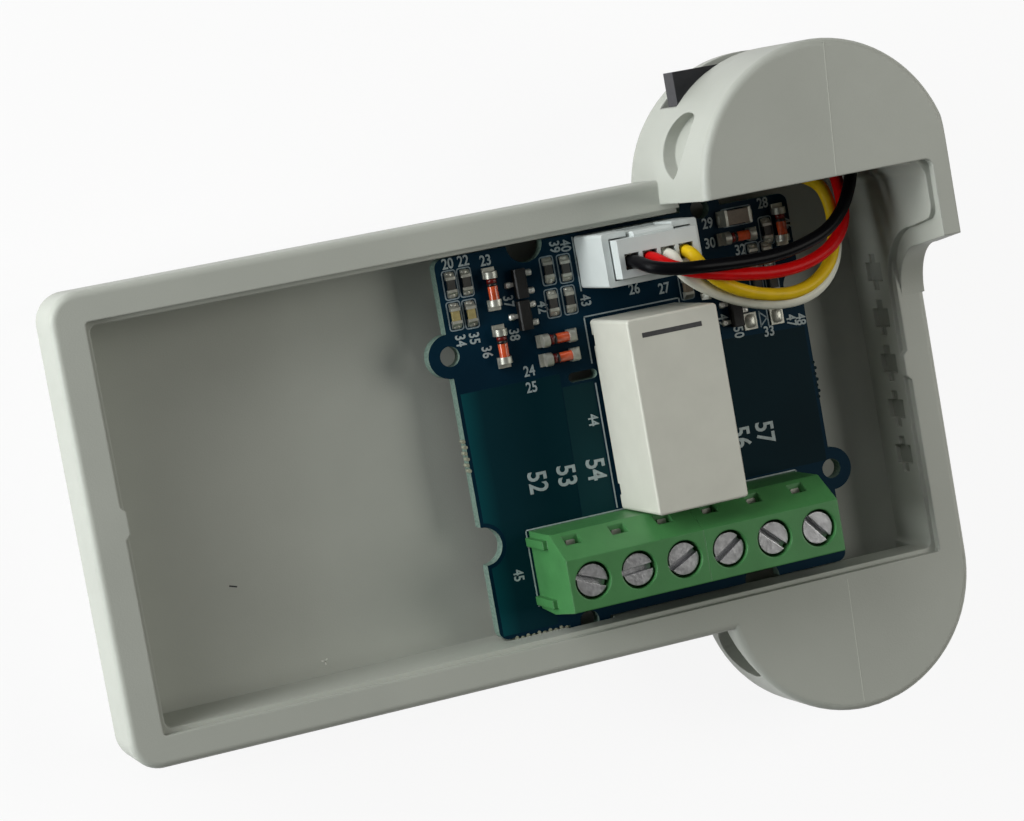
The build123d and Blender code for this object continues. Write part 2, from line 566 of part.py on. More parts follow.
def make_terminal_housings():
    start, seam = pole_x(0) - PITCH / 2, pole_x(BLOCK_POLES) - PITCH / 2
    left = terminal_block(0) + dovetails(start, DOVETAIL_REACH)
    keep("terminal_housing_left", left - dovetails(seam, DOVETAIL_REACH + DOVETAIL_GAP))
    keep("terminal_housing_right", terminal_block(BLOCK_POLES) + dovetails(seam, DOVETAIL_REACH))


def terminal_screw(x, turn):
    top = TERM_TOP - SCREW_SINK
    head = post(x, SCREW_Y, top - HEAD_H, top, SCREW_R)
    shank = post(x, SCREW_Y, SHANK_END, top - HEAD_H / 2, SHANK_R)
    drive = brick(0, 0, 2 * WELL_R, DRIVE_W, top - DRIVE_DEEP, top + OVER)
    return head + shank - Pos(x, SCREW_Y) * Rot(0, 0, turn) * drive


def terminal_clamp(x):
    """A square cage, open at the front and back, with the shank's hole in its lid."""
    inner_w = CAGE_W - 2 * CAGE_WALL
    cage = block(x - CAGE_W / 2, x + CAGE_W / 2, CAGE_Y0, CAGE_Y1, CAGE_Z0, CAGE_TOP)
    cage -= block(x - inner_w / 2, x + inner_w / 2, CAGE_Y0 - OVER, CAGE_Y1 + OVER,
                  CAGE_Z0 + CAGE_WALL, CAGE_TOP - CAGE_LID)
    return cage - post(x, SCREW_Y, CAGE_TOP - CAGE_LID - SINK, CAGE_TOP + OVER, SHANK_R + CAGE_HOLE_GAP)


def terminal_pin(x):
    half = TERM_PIN_W / 2
    tongue = block(x - TONGUE_W / 2, x + TONGUE_W / 2, TONGUE_FRONT, TERM_PIN_Y + half,
                   TONGUE_Z, TONGUE_Z + TONGUE_T)
    leg_foot = BOARD_UNDER - PIN_STUB
    tab = brick(x, TERM_PIN_Y, TEST_TAB_W, TEST_TAB_T, TONGUE_Z, TEST_TAB_TOP)
    return tongue + tab + brick(x, TERM_PIN_Y, TERM_PIN_W, TERM_PIN_W, leg_foot, TONGUE_Z + TONGUE_T)


def make_terminals():
    make_terminal_housings()
    pins = []
    for i in range(POLES):
        x = pole_x(i)
        keep(f"terminal_screw_{i + 1}", terminal_screw(x, SCREW_TURNS[i]))
        keep(f"terminal_clamp_{i + 1}", terminal_clamp(x))
        pins.append(terminal_pin(x))
    keep("terminal_pins", *pins)


# The header and the plug

def make_header():
    x, y, top = HEADER_X, HEADER_Y, BOARD_TOP + HEADER_H
    shroud = brick(x, y, HEADER_L, HEADER_W, BOARD_TOP, top)
    shroud = fillet(shroud.edges().filter_by(Axis.Z), HEADER_R)
    gap = 2 * HEADER_GAP
    shroud -= brick(x, y, PLUG_L + gap, PLUG_W + gap, HEADER_FLOOR, top + OVER)
    shroud -= brick(x, y + HEADER_W / 2, LATCH_GATE_W, HEADER_W - PLUG_W + gap, LATCH_GATE_Z, top + OVER)
    pins = [brick(header_pin_x(i), HEADER_PIN_Y, HEADER_PIN_W, HEADER_PIN_W,
                  BOARD_UNDER - PIN_STUB, HEADER_PIN_TOP) for i in range(WAYS)]
    keep("header_shroud", shroud - pins)
    keep("header_pins", *pins)


def plug_contact(x):
    """A box that grips the header pin, with a crimp ring round the wire's end."""
    y = HEADER_PIN_Y
    box = brick(x, y, CONTACT_BOX, CONTACT_BOX, PLUG_BOTTOM + PLUG_BEVEL, WIRE_FOOT_Z)
    box -= brick(x, y, CONTACT_BORE, CONTACT_BORE, PLUG_BOTTOM, CONTACT_BORE_TOP)
    ring = post(x, y, WIRE_FOOT_Z, WIRE_FOOT_Z + CRIMP_H, CRIMP_R)
    return box + ring - post(x, y, WIRE_FOOT_Z, WIRE_FOOT_Z + OVER, WIRE_D / 2)


def make_plug():
    x, y = HEADER_X, HEADER_Y
    body = brick(x, y, PLUG_L, PLUG_W, PLUG_BOTTOM, PLUG_TOP)
    body = chamfer(body.edges().group_by(Axis.Z)[0], PLUG_BEVEL)
    back = y + PLUG_W / 2
    latch = block(x - LATCH_W / 2, x + LATCH_W / 2, back - SINK, back + LATCH_REACH,
                  PLUG_BOTTOM + LATCH_RISE, PLUG_TOP - LATCH_DROP)
    body += chamfer(latch.edges().filter_by(Axis.X).group_by(Axis.Y)[-1], PLUG_BEVEL)
    ways = [header_pin_x(i) for i in range(WAYS)]
    body -= [brick(way, HEADER_PIN_Y, CAVITY, CAVITY, PLUG_BOTTOM - OVER, PLUG_TOP + OVER) for way in ways]
    keep("plug_housing", body)
    keep("plug_contacts", *[plug_contact(way) for way in ways])


# The socket in the raised lobe

def socket_x(index):
    return LOBE_X + (index - (SOCKET_POLES - 1) / 2) * SOCKET_PITCH


def socket_contact(x):
    """A spring box in the socket with a flat tail that the wire meets."""
    half, bore = SPRING_BOX / 2, SPRING_BORE / 2
    spring = block(x - half, x + half, SPRING_Y0, SPRING_Y1, SOCKET_ZM - half, SOCKET_ZM + half)
    spring -= block(x - bore, x + bore, SPRING_BORE_Y0, SPRING_Y1 + OVER, SOCKET_ZM - bore, SOCKET_ZM + bore)
    return spring + block(x - TAIL_W / 2, x + TAIL_W / 2, TAIL_Y, SPRING_Y0 + SINK,
                          SOCKET_ZM - TAIL_T / 2, SOCKET_ZM + TAIL_T / 2)


def make_socket():
    poles = [socket_x(i) for i in range(SOCKET_POLES)]
    half = SPRING_BOX / 2
    body = block(poles[0] - SOCKET_PITCH / 2, poles[-1] + SOCKET_PITCH / 2, SOCKET_Y0, SOCKET_Y1,
                 SOCKET_Z0, SOCKET_Z0 + SOCKET_T)
    body -= [block(x - half, x + half, SOCKET_Y0 - OVER, SOCKET_Y1 + OVER, SOCKET_ZM - half, SOCKET_ZM + half)
             for x in poles]
    keep("socket_housing", body)
    keep("socket_contacts", *[socket_contact(x) for x in poles])


# The wires from the plug to the socket

def wire_points(colour):
    """From the crimp in the plug, over the board, to the tail of its socket contact."""
    foot = Vector(header_pin_x(WIRE_WAY[colour]), HEADER_PIN_Y, WIRE_FOOT_Z)
    tail = Vector(socket_x(WIRE_POLE[colour]), TAIL_Y, SOCKET_ZM)
    return [foot] + [at(*p) for p in WIRE_ROUTES[colour]] + [tail]


def corner_radii(points):
    """The largest arc at each point that leaves a tenth of its shorter run straight."""
    radii = []
    for a, b, c in zip(points, points[1:], points[2:]):
        turn = math.radians((b - a).get_angle(c - b))
        run = min((b - a).length, (c - b).length)
        radii.append(ARC_SHARE * run / math.tan(turn / 2))
    return radii


def make_wire(colour):
    points = wire_points(colour)
    path = FilletPolyline(*points, radius=corner_radii(points))
    start = Plane(origin=points[0], z_dir=points[1] - points[0])
    keep(f"wire_{colour}", sweep(start * Circle(WIRE_D / 2), path=path))


# The small parts on the board

def placed(place, solid):
    u, v, turn = place
    return Pos(BOARD_X + u, v, BOARD_TOP) * Rot(0, 0, turn) * solid


def chip_ends(length, width, height):
    """The two metal ends of a chip with their solder fillets."""
    half = width / 2 + END_OVER
    inner, outer, toe = length / 2 - END_L, length / 2, length / 2 + END_TOE
    profile = [(inner, 0), (toe, 0), (toe, TOE_Z), (outer, height), (inner, height)]
    ends = []
    for side in (-1, 1):
        face = make_face(Polyline(*[(side * x, 0, z) for x, z in profile], close=True))
        ends.append(extrude(Pos(0, -half, 0) * face, 2 * half, dir=(0, 1, 0)))
    return ends


def make_chips():
    groups = {"chip_resistors": [(p, CHIP) for p in RESISTORS],
              "indicator_leds": [(p, LED) for p in LEDS],
              "chip_capacitors": [(p, BIG_CAP) for p in BIG_CAPS] + [(p, SMALL_CAP) for p in SMALL_CAPS]}
    ends = []
    for name, chips in groups.items():
        bodies = []
        for place, (length, width, height) in chips:
            body = brick(0, 0, length - 2 * END_L, width, CHIP_LIFT, height)
            bodies.append(placed(place, body))
            ends += [placed(place, end) for end in chip_ends(length, width, height)]
        keep(name, *bodies)
    keep("chip_ends", *ends)


def make_diodes():
    tubes, caps = [], []
    lying = Pos(0, 0, DIODE_Z) * Rot(0, 90, 0)
    middle = (DIODE_TUBE_L + DIODE_CAP_L) / 2
    for place in DIODES:
        tubes.append(placed(place, lying * Cylinder(DIODE_TUBE_R, DIODE_TUBE_L)))
        for side in (-1, 1):
            cap = Pos(side * middle, 0, 0) * lying * Cylinder(DIODE_R, DIODE_CAP_L)
            solder = block(side * DIODE_TUBE_L / 2, side * DIODE_PAD_END, -DIODE_PAD_HALF, DIODE_PAD_HALF,
                           0, DIODE_PAD_H)
            caps.append(placed(place, cap + solder))
    keep("diode_tubes", *[tube - caps for tube in tubes])
    keep("diode_caps", *caps)


def make_transistors():
    bodies, leads = [], []
    for u, v, side in TRANSISTORS:
        place = (u, v, 0)
        body = brick(0, 0, TRANSISTOR_W, TRANSISTOR_L, *TRANSISTOR_Z)
        body = chamfer(body.edges().group_by(Axis.Z)[-1].filter_by(Axis.Y), TRANSISTOR_BEVEL)
        bodies.append(placed(place, body))
        for way, y in ((side, LEAD_STEP), (side, -LEAD_STEP), (-side, 0.0)):
            lead = block(way * LEAD_X[0], way * LEAD_X[1], y - LEAD_W / 2, y + LEAD_W / 2, 0, LEAD_T)
            leads.append(placed(place, lead))
    keep("transistor_bodies", *bodies)
    keep("transistor_leads", *leads)


def make_solder():
    """The bare pads on top, and the soldered joint round each pin under the board."""
    keep("bare_pads", *[placed((u, v, 0), brick(0, 0, PAD_W, PAD_L, 0, PAD_H)) for u, v in BARE_PADS])
    pins = [s for n in ("relay_pins", "terminal_pins", "header_pins") for s in PARTS[n].solids()]
    middle = BOARD_UNDER - JOINT_H / 2
    joints = [Pos(x, y, middle) * Cone(r + JOINT_TIP, r + JOINT_RIM, JOINT_H) - pins
              for x, y, r in through_holes()]
    keep("solder_joints", *joints)


make_housing()
make_board()
make_relay_shells()
make_relay_coil()
make_armature()
make_fixed_contacts()
make_terminals()
make_header()
make_plug()
make_socket()
for colour in WIRE_ROUTES:
    make_wire(colour)
make_chips()
make_diodes()
make_transistors()
make_solder()

os.makedirs("parts", exist_ok=True)
for name, shape in PARTS.items():
    export_step(shape, "parts/" + name + ".step")
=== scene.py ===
import bmesh
import bpy
import json
import math
from mathutils import Matrix, Vector


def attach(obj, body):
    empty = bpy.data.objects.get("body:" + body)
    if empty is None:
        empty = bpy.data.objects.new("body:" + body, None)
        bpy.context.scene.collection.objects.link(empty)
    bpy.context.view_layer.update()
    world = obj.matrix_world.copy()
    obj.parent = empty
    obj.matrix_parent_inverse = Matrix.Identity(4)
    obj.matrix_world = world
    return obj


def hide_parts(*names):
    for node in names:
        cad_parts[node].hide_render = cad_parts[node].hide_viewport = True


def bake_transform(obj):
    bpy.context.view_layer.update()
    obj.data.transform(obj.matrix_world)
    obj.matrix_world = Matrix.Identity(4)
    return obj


# Logic relay module: a relay board in an open moulded tray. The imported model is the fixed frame,
# and this script adds the camera, the lights, the wires, the surface marks and the materials.
# Blender's own lengths are metres. Places and sizes on the part are millimetres, and places are
# counted from the board's centre and its top face unless a comment says otherwise.

MM = 0.001
BOARD_X, BOARD_TOP = 14.2, 6.4
BOARD_HALF = 20.0

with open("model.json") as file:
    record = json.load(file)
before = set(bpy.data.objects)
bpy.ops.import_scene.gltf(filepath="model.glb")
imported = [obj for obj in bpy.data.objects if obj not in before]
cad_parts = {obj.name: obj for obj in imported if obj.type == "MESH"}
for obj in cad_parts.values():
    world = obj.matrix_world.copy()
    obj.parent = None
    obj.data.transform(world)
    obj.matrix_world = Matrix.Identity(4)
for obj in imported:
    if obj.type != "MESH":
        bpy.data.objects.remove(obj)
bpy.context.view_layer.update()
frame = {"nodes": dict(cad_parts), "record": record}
nodes = frame["nodes"]


def at(u, v, z=0.0):
    """A point over the board: u and v from its centre, z up from its top face, in millimetres."""
    return Vector(((BOARD_X + u) * MM, v * MM, (BOARD_TOP + z) * MM))


# The camera

LENS, SENSOR_WIDTH = 108.992, 36.0
CLIP_NEAR, CLIP_FAR = 0.01, 20.0
CAMERA_PLACE = ((0.928240, 0.197221, -0.315395, -0.101208),
                (-0.174366, 0.979650, 0.099412, 0.035082),
                (0.328582, -0.037284, 0.943739, 0.308609),
                (0.0, 0.0, 0.0, 1.0))


def make_camera():
    data = bpy.data.cameras.new("main_camera")
    data.lens, data.sensor_width, data.sensor_fit = LENS, SENSOR_WIDTH, "HORIZONTAL"
    data.clip_start, data.clip_end = CLIP_NEAR, CLIP_FAR
    camera = bpy.data.objects.new("main_camera", data)
    camera.matrix_world = Matrix(CAMERA_PLACE)
    bpy.context.scene.collection.objects.link(camera)
    bpy.context.scene.camera = camera


make_camera()


# The wires: the route of each, over the board in millimetres, from the plug's crimp to its pole

WIRE_D = 1.35
ROUTES = {
    "black": [(-2.2, 16.6, 8.4), (-2.2, 16.6, 10.6), (-1.7, 15.8, 13.1), (0.6, 15.2, 14.2),
              (3.9, 14.9, 14.0), (8.4, 14.5, 12.6), (12.9, 14.4, 11.3), (16.7, 14.9, 10.2),
              (20.0, 15.8, 9.2), (22.6, 17.7, 8.2), (24.4, 20.2, 7.0), (25.7, 21.4, 4.9),
              (27.09, 22.5, 2.5), (27.09, 24.1, 2.35)],
    "red": [(-0.2, 16.6, 8.4), (-0.2, 16.6, 10.3), (0.4, 15.7, 12.2), (2.0, 14.9, 12.7),
            (4.4, 14.1, 12.4), (8.6, 13.2, 10.5), (13.4, 12.5, 9.2), (17.4, 12.7, 8.3),
            (20.7, 13.8, 7.6), (22.8, 15.7, 6.9), (23.6, 18.0, 6.0), (23.9, 20.4, 5.0),
            (24.5, 22.2, 2.5), (24.55, 24.1, 2.35)],
    "white": [(1.8, 16.6, 8.4), (1.8, 16.6, 10.5), (2.2, 14.7, 11.2), (4.0, 13.4, 9.4),
              (6.5, 11.9, 7.9), (10.0, 10.2, 7.0), (13.9, 9.1, 6.3), (17.6, 9.0, 5.6),
              (20.6, 10.1, 4.9), (22.6, 12.5, 4.3), (23.3, 15.6, 3.7), (23.4, 19.0, 3.1),
              (22.0, 22.2, 2.4), (22.01, 24.1, 2.35)],
    "yellow": [(3.8, 16.6, 8.4), (3.8, 16.6, 10.5), (4.6, 14.8, 11.1), (6.4, 13.1, 9.7),
               (9.5, 11.3, 8.6), (13.0, 10.2, 8.0), (16.4, 9.9, 7.4), (19.4, 10.9, 6.7),
               (21.5, 12.8, 6.0), (22.4, 15.5, 5.4), (22.7, 18.2, 4.8), (22.1, 20.6, 4.2),
               (19.5, 22.2, 2.4), (19.47, 24.1, 2.35)],
}
# How finely a wire is divided along its line and round its girth, and the order of its spline
STEPS_ALONG, STEPS_ROUND, CURVE_ORDER = 12, 6, 3


def route_curve(name, points, radius):
    """A smooth line with the route's points as its control points."""
    data = bpy.data.curves.new(name, "CURVE")
    data.dimensions = "3D"
    data.resolution_u = STEPS_ALONG
    data.bevel_depth = radius
    data.bevel_resolution = STEPS_ROUND
    data.use_fill_caps = True
    spline = data.splines.new("NURBS")
    spline.points.add(len(points) - 1)
    for control, point in zip(spline.points, points):
        control.co = (*point, 1.0)
    spline.order_u = CURVE_ORDER
    spline.use_endpoint_u = True
    return bpy.data.objects.new(name, data)


def curve_mesh(name, points, radius):
    curve = route_curve(name + "_line", points, radius)
    bpy.context.scene.collection.objects.link(curve)
    graph = bpy.context.evaluated_depsgraph_get()
    mesh = bpy.data.meshes.new_from_object(curve.evaluated_get(graph))
    bpy.data.objects.remove(curve)
    return mesh


def make_wire(colour):
    points = [at(*p) for p in ROUTES[colour]]
    line = curve_mesh(colour, points, 0.0)
    mesh = curve_mesh(colour, points, WIRE_D / 2 * MM)
    mesh.name = "wire_" + colour
    wire = bpy.data.objects.new("lead_" + colour, mesh)
    bpy.context.scene.collection.objects.link(wire)
    for face in mesh.polygons:
        face.use_smooth = True
    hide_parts("wire_" + colour)
    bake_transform(wire)
    return wire


wires = {colour: make_wire(colour) for colour in ROUTES}


# Materials: the tools

NOISE_ROUGH = 0.55
MOTTLE_LOW, MOTTLE_HIGH = 0.3, 0.7
LEAST_ROUGH, GLOSS_FINENESS = 0.03, 3
GRAIN_DEPTH, GRAIN_DETAIL = 0.00005, 2.0
EDGE_SAMPLES = 6


def link(tree, a, a_name, b, b_name):
    tree.links.new(a.outputs[a_name], b.inputs[b_name])


def noise(tree, coords, scale, detail=3.0):
    node = tree.nodes.new("ShaderNodeTexNoise")
    node.inputs["Scale"].default_value = scale
    node.inputs["Detail"].default_value = detail
    node.inputs["Roughness"].default_value = NOISE_ROUGH
    link(tree, coords, "Object", node, "Vector")
    return node


def ramp(tree, source, output, stops):
    """A colour ramp through the stops; the new ones start in the middle and are then moved."""
    node = tree.nodes.new("ShaderNodeValToRGB")
    elements = node.color_ramp.elements
    while len(elements) < len(stops):
        elements.new(0.5)
    for element, (place, colour) in zip(elements, stops):
        element.position = place
        element.color = (*colour, 1.0)
    link(tree, source, output, node, "Fac")
    return node


def math_node(tree, operation, *values):
    """A Math node; each value is a number, or a node and the name of its output."""
    node = tree.nodes.new("ShaderNodeMath")
    node.operation = operation
    for socket, value in zip(node.inputs, values):
        if isinstance(value, tuple):
            tree.links.new(value[0].outputs[value[1]], socket)
        else:
            socket.default_value = value
    return node


def fine_bump(tree, coords, strength, depth, scale, detail=3.0):
    bump = tree.nodes.new("ShaderNodeBump")
    bump.inputs["Strength"].default_value = strength
    bump.inputs["Distance"].default_value = depth
    link(tree, noise(tree, coords, scale, detail), "Fac", bump, "Height")
    return bump


def shade(colour, factor):
    return tuple(min(1.0, c * factor) for c in colour)


def new_material(name):
    """An empty material, with its shader and its object coordinates."""
    mat = bpy.data.materials.new(name)
    mat.use_nodes = True
    tree = mat.node_tree
    return mat, tree, tree.nodes["Principled BSDF"], tree.nodes.new("ShaderNodeTexCoord")


def surface(name, colour, rough=0.45, mottle=0.06, mottle_scale=260.0, grain=0.15, grain_scale=5200.0,
            rough_change=0.08, soft_edge=0.0, metallic=0.0, coat=0.0, shine=0.5):
    """A moulded or metal surface: mottled colour, fine grain, uneven gloss and softened edges."""
    mat, tree, shader, coords = new_material(name)
    tones = ramp(tree, noise(tree, coords, mottle_scale), "Fac",
                 [(MOTTLE_LOW, shade(colour, 1 - mottle)), (MOTTLE_HIGH, shade(colour, 1 + mottle))])
    link(tree, tones, "Color", shader, "Base Color")
    gloss = tree.nodes.new("ShaderNodeMapRange")
    gloss.inputs["To Min"].default_value = max(LEAST_ROUGH, rough - rough_change)
    gloss.inputs["To Max"].default_value = min(1.0, rough + rough_change)
    link(tree, noise(tree, coords, mottle_scale * GLOSS_FINENESS), "Fac", gloss, "Value")
    link(tree, gloss, "Result", shader, "Roughness")
    bump = fine_bump(tree, coords, grain, GRAIN_DEPTH, grain_scale, GRAIN_DETAIL)
    if soft_edge:
        bevel = tree.nodes.new("ShaderNodeBevel")
        bevel.samples = EDGE_SAMPLES
        bevel.inputs["Radius"].default_value = soft_edge * MM
        link(tree, bevel, "Normal", bump, "Normal")
    link(tree, bump, "Normal", shader, "Normal")
    shader.inputs["Metallic"].default_value = metallic
    shader.inputs["Coat Weight"].default_value = coat
    shader.inputs["Specular IOR Level"].default_value = shine
    return mat


# Solder mask: its uneven colour, the copper area that fades at the board's left edge, and its gloss
CLOUD_SCALE, CLOUD_DETAIL = 60.0, 2.0
CLOUD_LOW, CLOUD_HIGH, CLOUD_CHANGE = 0.35, 0.65, 0.2
FADE_FROM, FADE_TO = (BOARD_X - BOARD_HALF) * MM, (BOARD_X - 13.0) * MM
FADE_CLOUDS, FADE_STOPS, FADE_MIDDLE = 0.35, (0.15, 0.5, 1.0), 1.15
MASK_GRAIN, MASK_GRAIN_DEPTH, MASK_GRAIN_SCALE = 0.12, 0.00003, 1500.0
MASK_ROUGH, MASK_SHINE = 0.42, 0.06


def solder_mask(tree, coords, tone, edge_tone=None):
    """The mask's uneven colour, which may fade from a lighter tone at the board's left edge."""
    clouds = noise(tree, coords, CLOUD_SCALE, CLOUD_DETAIL)
    if edge_tone is None:
        return ramp(tree, clouds, "Fac", [(CLOUD_LOW, shade(tone, 1 - CLOUD_CHANGE)),
                                          (CLOUD_HIGH, shade(tone, 1 + CLOUD_CHANGE))])
    split = tree.nodes.new("ShaderNodeSeparateXYZ")
    link(tree, coords, "Object", split, "Vector")
    across = tree.nodes.new("ShaderNodeMapRange")
    across.inputs["From Min"].default_value = FADE_FROM
    across.inputs["From Max"].default_value = FADE_TO
    link(tree, split, "X", across, "Value")
    wobble = math_node(tree, "MULTIPLY_ADD", (clouds, "Fac"), FADE_CLOUDS, (across, "Result"))
    return ramp(tree, wobble, "Value", list(zip(FADE_STOPS, (edge_tone, shade(tone, FADE_MIDDLE), tone))))


def mask_gloss(tree, coords, shader):
    bump = fine_bump(tree, coords, MASK_GRAIN, MASK_GRAIN_DEPTH, MASK_GRAIN_SCALE)
    link(tree, bump, "Normal", shader, "Normal")
    shader.inputs["Roughness"].default_value = MASK_ROUGH
    shader.inputs["Specular IOR Level"].default_value = MASK_SHINE


MASK_TONE = (0.0012, 0.017, 0.034)
FIBRE_SCALE, FIBRE_DARK, FIBRE_PALE = 4000.0, (0.10, 0.16, 0.14), (0.22, 0.30, 0.25)
SIDE_SLOPE = 0.5


def board_material():
    """Dark blue solder mask on the faces and the laminate's own colour on the cut edges."""
    mat, tree, shader, coords = new_material("board_laminate")
    mask = solder_mask(tree, coords, MASK_TONE)
    geometry = tree.nodes.new("ShaderNodeNewGeometry")
    split = tree.nodes.new("ShaderNodeSeparateXYZ")
    link(tree, geometry, "Normal", split, "Vector")
    upright = math_node(tree, "ABSOLUTE", (split, "Z"))
    side = math_node(tree, "LESS_THAN", (upright, "Value"), SIDE_SLOPE)
    fibre = ramp(tree, noise(tree, coords, FIBRE_SCALE), "Fac",
                 [(MOTTLE_LOW, FIBRE_DARK), (MOTTLE_HIGH, FIBRE_PALE)])
    mix = tree.nodes.new("ShaderNodeMix")
    mix.data_type = "RGBA"
    tree.links.new(side.outputs["Value"], mix.inputs["Factor"])
    tree.links.new(mask.outputs["Color"], mix.inputs["A"])
    tree.links.new(fibre.outputs["Color"], mix.inputs["B"])
    tree.links.new([o for o in mix.outputs if o.type == "RGBA"][0], shader.inputs["Base Color"])
    mask_gloss(tree, coords, shader)
    return mat


def pour_material(name, tone, edge_tone=None):
    """Solder mask over copper, a little paler than over bare laminate."""
    mat, tree, shader, coords = new_material(name)
    link(tree, solder_mask(tree, coords, tone, edge_tone), "Color", shader, "Base Color")
    mask_gloss(tree, coords, shader)
    return mat


# Materials: the table

HOUSING = (0.43, 0.445, 0.40)
GREEN = (0.052, 0.20, 0.06)

SURFACES = {
    "housing_plastic": dict(colour=HOUSING, rough=0.5, mottle=0.03, mottle_scale=90.0, grain=0.3,
                            grain_scale=6000.0, soft_edge=0.25),
    "relay_case": dict(colour=(0.60, 0.60, 0.53), rough=0.38, mottle=0.03, mottle_scale=300.0, grain=0.1,
                       soft_edge=0.1),
    "relay_plastic": dict(colour=(0.45, 0.43, 0.36), rough=0.5),
    "copper_winding": dict(colour=(0.45, 0.17, 0.06), rough=0.35, metallic=0.6),
    "bright_steel": dict(colour=(0.55, 0.55, 0.57), rough=0.34, mottle=0.18, mottle_scale=900.0, grain=0.35,
                         grain_scale=3000.0, rough_change=0.12, soft_edge=0.08, metallic=0.9),
    "magnet_ferrite": dict(colour=(0.05, 0.05, 0.05), rough=0.6),
    "contact_metal": dict(colour=(0.62, 0.5, 0.26), rough=0.3, metallic=1.0),
    "terminal_plastic": dict(colour=GREEN, rough=0.42, mottle=0.08, mottle_scale=320.0, grain=0.2,
                             soft_edge=0.22),
    "connector_plastic": dict(colour=(0.57, 0.61, 0.60), rough=0.42, mottle=0.03, mottle_scale=400.0,
                              grain=0.1, soft_edge=0.1),
    "socket_plastic": dict(colour=(0.010, 0.010, 0.014), mottle=0.1, mottle_scale=500.0, grain=0.2,
                           soft_edge=0.1),
    "wire_black": dict(colour=(0.004, 0.004, 0.005), rough=0.3, mottle=0.1, mottle_scale=700.0, grain=0.1,
                       shine=0.05),
    "wire_red": dict(colour=(0.60, 0.004, 0.005), rough=0.3, mottle=0.08, mottle_scale=700.0, grain=0.1,
                     shine=0.07),
    "wire_white": dict(colour=(0.78, 0.78, 0.68), rough=0.4, mottle=0.04, mottle_scale=700.0, grain=0.1,
                       shine=0.3),
    "wire_yellow": dict(colour=(0.76, 0.51, 0.012), rough=0.3, mottle=0.08, mottle_scale=700.0, grain=0.1,
                        shine=0.1),
    "chip_black": dict(colour=(0.034, 0.032, 0.028), rough=0.4, mottle=0.2, mottle_scale=1500.0, grain=0.4,
                       soft_edge=0.04),
    "transistor_black": dict(colour=(0.006, 0.006, 0.006), mottle=0.2, mottle_scale=1500.0, grain=0.4,
                             soft_edge=0.04, shine=0.3),
    "chip_ceramic": dict(colour=(0.16, 0.12, 0.08), mottle=0.12, mottle_scale=1500.0, grain=0.3,
                         soft_edge=0.05),
    "led_resin": dict(colour=(0.34, 0.28, 0.12), rough=0.25, mottle=0.2, mottle_scale=1500.0, grain=0.2,
                      soft_edge=0.05),
    "diode_glass": dict(colour=(0.55, 0.075, 0.02), rough=0.14, mottle=0.25, mottle_scale=1200.0, grain=0.1,
                        coat=0.6),
    "solder": dict(colour=(0.42, 0.42, 0.37), rough=0.42, mottle=0.25, mottle_scale=1100.0, grain=0.35,
                   grain_scale=1200.0, rough_change=0.1, soft_edge=0.06, metallic=0.7),
    "lead_tin": dict(colour=(0.66, 0.66, 0.61), rough=0.36, mottle=0.2, mottle_scale=1100.0, grain=0.35,
                     grain_scale=1200.0, rough_change=0.1, soft_edge=0.06, metallic=0.6),
    "silk_print": dict(colour=(0.36, 0.42, 0.43), rough=0.6, mottle=0.15, mottle_scale=2500.0, grain=0.2),
    "silk_faint": dict(colour=(0.22, 0.28, 0.31), rough=0.6, mottle=0.15, mottle_scale=2500.0, grain=0.2),
    "cut_laminate": dict(colour=(0.26, 0.27, 0.20), rough=0.7, mottle=0.25, mottle_scale=3000.0, grain=0.5),
    "pale_fleck": dict(colour=(0.75, 0.75, 0.70), rough=0.5, mottle=0.1, mottle_scale=2500.0, grain=0.2),
    # A paler copy of the housing colour: painted highlight along the real parting line's ridge
    "mould_line_painted_highlight": dict(colour=shade(HOUSING, 1.3), rough=0.5, mottle=0.03, mottle_scale=900.0, grain=0.1),
    # A darker copy of the housing colour: painted shade for the floors of the end wall's cross marks
    "mark_painted_shade": dict(colour=shade(HOUSING, 0.7), rough=0.55, mottle=0.05, mottle_scale=300.0, grain=0.3),
    "dark_ink": dict(colour=(0.035, 0.035, 0.038), rough=0.5, mottle=0.2, mottle_scale=2500.0, grain=0.2),
    "diode_band": dict(colour=(0.012, 0.010, 0.010), rough=0.3, mottle=0.2, mottle_scale=2500.0, grain=0.2),
    "diode_shade": dict(colour=(0.13, 0.008, 0.006), rough=0.2, mottle=0.2, mottle_scale=2500.0, grain=0.2),
}
POURS = {
    "pour_left": ((0.0015, 0.021, 0.029), (0.003, 0.062, 0.074)),
    "pour_strip": ((0.005, 0.030, 0.036),),
    "pour_right": ((0.002, 0.013, 0.019),),
}

MATERIALS = {name: surface(name, **look) for name, look in SURFACES.items()}
MATERIALS["board_laminate"] = board_material()
MATERIALS.update({name: pour_material(name, *tones) for name, tones in POURS.items()})


def dress(obj, material):
    obj.data.materials.clear()
    obj.data.materials.append(MATERIALS[material])


def dress_nodes():
    for part in frame["record"]["subparts"]:
        dress(nodes[part["node"]], part["material_slot"])
    dress(nodes["transistor_bodies"], "transistor_black")
    dress(nodes["transistor_leads"], "lead_tin")
    for colour, wire in wires.items():
        dress(wire, "wire_" + colour)


dress_nodes()


# Thin marks: print, copper and mould lines are flat forms a few hundredths of a millimetre high

PRINT_H, POUR_H = 0.03, 0.012
LINE, FINE_LINE = 0.14, 0.13
FRAME_CORNER, CORNER_STEPS = 0.32, 4


def raise_outline(mesh, points, foot, height):
    """A flat form with the outline, its foot at a height over the board. Millimetres."""
    low = [mesh.verts.new(at(x, y, foot)) for x, y in points]
    top = [mesh.verts.new(at(x, y, foot + height)) for x, y in points]
    mesh.faces.new(low[::-1])
    mesh.faces.new(top)
    for i in range(len(points)):
        j = (i + 1) % len(points)
        mesh.faces.new((low[i], low[j], top[j], top[i]))


